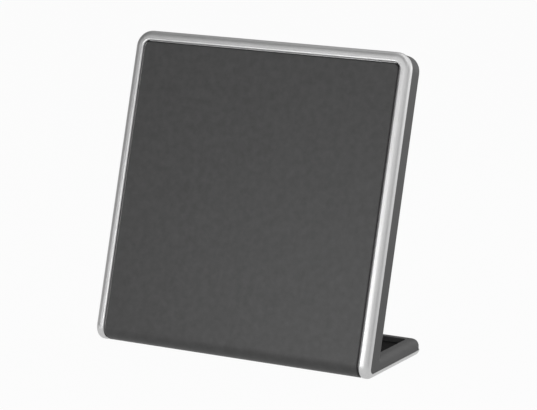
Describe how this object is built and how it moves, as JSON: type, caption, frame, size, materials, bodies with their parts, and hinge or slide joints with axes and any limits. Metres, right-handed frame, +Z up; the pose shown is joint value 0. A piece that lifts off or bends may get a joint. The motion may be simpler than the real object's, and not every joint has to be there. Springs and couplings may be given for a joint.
{
  "type": "tabletop tv antenna",
  "caption": "Flat tabletop TV antenna: a square leaning panel with a silver edge band on a fixed weighted foot, with coaxial and power sockets behind.",
  "frame": {"origin": "on the table, under the middle of the outline", "axes": "+X to the right seen from the front, +Y to the back, +Z up"},
  "size_m": [0.18, 0.0687, 0.1777],
  "materials": {
    "silver_lacquer": "satin silver lacquer on moulded ABS",
    "panel_grey": "fine matt spark texture",
    "cover_grey": "smooth matt moulding",
    "tray_black": "black moulding",
    "ballast_steel": "plain cut steel",
    "pad_rubber": "moulded rubber",
    "tinplate": "bright tinplate",
    "board_laminate": "green solder resist on glass laminate",
    "chip_resin": "moulded resin",
    "coil_copper": "enamelled copper winding on a ring core",
    "capacitor_can": "sleeved aluminium can",
    "ferrite": "sintered ferrite",
    "nickel_plate": "nickel-plated brass",
    "socket_insulator": "white moulded insulator",
    "contact_bronze": "spring bronze",
    "jack_plastic": "black moulding",
    "screw_zinc": "zinc-plated steel"
  },
  "bodies": {
    "root": {"silver_frame": "silver_lacquer", "front_panel": "panel_grey", "rear_cover": "cover_grey", "foot_tray": "tray_black", "ballast_plate": "ballast_steel", "rubber_feet": "pad_rubber", "left_radiator": "tinplate", "right_radiator": "tinplate", "amplifier_board": "board_laminate", "shield_can": "tinplate", "amplifier_chip": "chip_resin", "tuning_coils": "coil_copper", "smoothing_capacitor": "capacitor_can", "balun_core": "ferrite", "coax_socket_body": "nickel_plate", "coax_socket_insulator": "socket_insulator", "coax_socket_contact": "contact_bronze", "coax_socket_washer": "nickel_plate", "coax_socket_nut": "nickel_plate", "dc_jack_housing": "jack_plastic", "dc_jack_pin": "nickel_plate", "dc_jack_contact": "contact_bronze", "cover_screws": "screw_zinc", "base_screws": "screw_zinc", "board_screws": "screw_zinc", "radiator_screws": "screw_zinc"}
  },
  "joints": []
}
